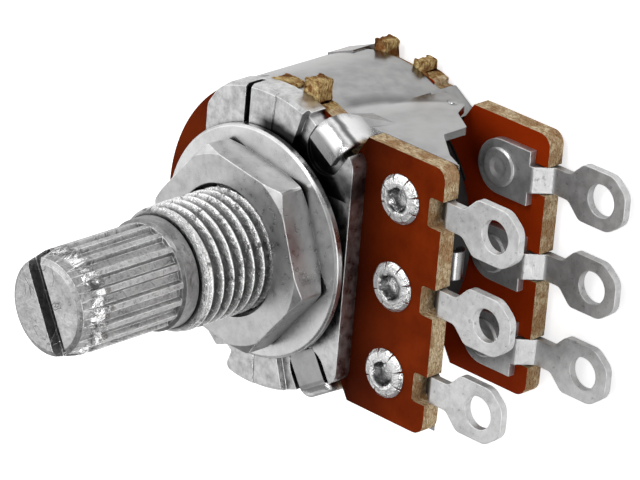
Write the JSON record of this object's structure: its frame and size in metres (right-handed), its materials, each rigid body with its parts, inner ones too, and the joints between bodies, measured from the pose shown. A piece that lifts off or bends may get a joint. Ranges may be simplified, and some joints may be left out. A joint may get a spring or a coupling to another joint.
{
  "type": "rotary potentiometer",
  "caption": "Dual-gang panel-mount rotary potentiometer with a splined slotted shaft, threaded bushing, hex nut, washer and solder lugs on two wafers.",
  "frame": {"origin": "on the shaft axis at the flange's mounting face, the top of its raised pads", "axes": "+Z along the shaft toward its tip, the solder lugs toward -Y, the row of lugs along X"},
  "size_m": [0.0178, 0.0251, 0.0264],
  "materials": {
    "cast_zinc": "satin",
    "nickel": "satin",
    "shaft_metal": "cast satin",
    "spring_steel": "satin",
    "laminate": "satin, fibrous edges",
    "tin_plate": "satin",
    "lug_silver": "satin",
    "bright_tin": "bright",
    "black_plastic": "matt",
    "wiper_bronze": "satin",
    "carbon": "matt"
  },
  "bodies": {
    "housing": {"bushing_plate": "cast_zinc", "hex_nut": "nickel", "flat_washer": "nickel", "front_wafer": "laminate", "rear_wafer": "laminate", "case": "tin_plate", "front_lug_1": "lug_silver", "front_lug_2": "lug_silver", "front_lug_3": "lug_silver", "rear_lug_1": "lug_silver", "rear_lug_2": "lug_silver", "rear_lug_3": "lug_silver", "front_eyelet_1": "bright_tin", "front_eyelet_2": "bright_tin", "front_eyelet_3": "bright_tin", "rear_eyelet_1": "bright_tin", "rear_eyelet_2": "bright_tin", "rear_eyelet_3": "bright_tin", "stop_plate": "tin_plate", "front_track": "carbon", "rear_track": "carbon", "front_collector": "lug_silver", "rear_collector": "lug_silver"},
    "spindle": {"shaft": "shaft_metal", "retaining_clip": "spring_steel", "front_rotor": "black_plastic", "rear_rotor": "black_plastic", "front_wiper": "wiper_bronze", "rear_wiper": "wiper_bronze"}
  },
  "joints": [
    {"name": "shaft_turn", "type": "hinge", "parent": "housing", "child": "spindle", "pos_m": [0, 0, 0], "axis": [0, 0, 1], "range_deg": [-178.5, 121.5]}
  ]
}
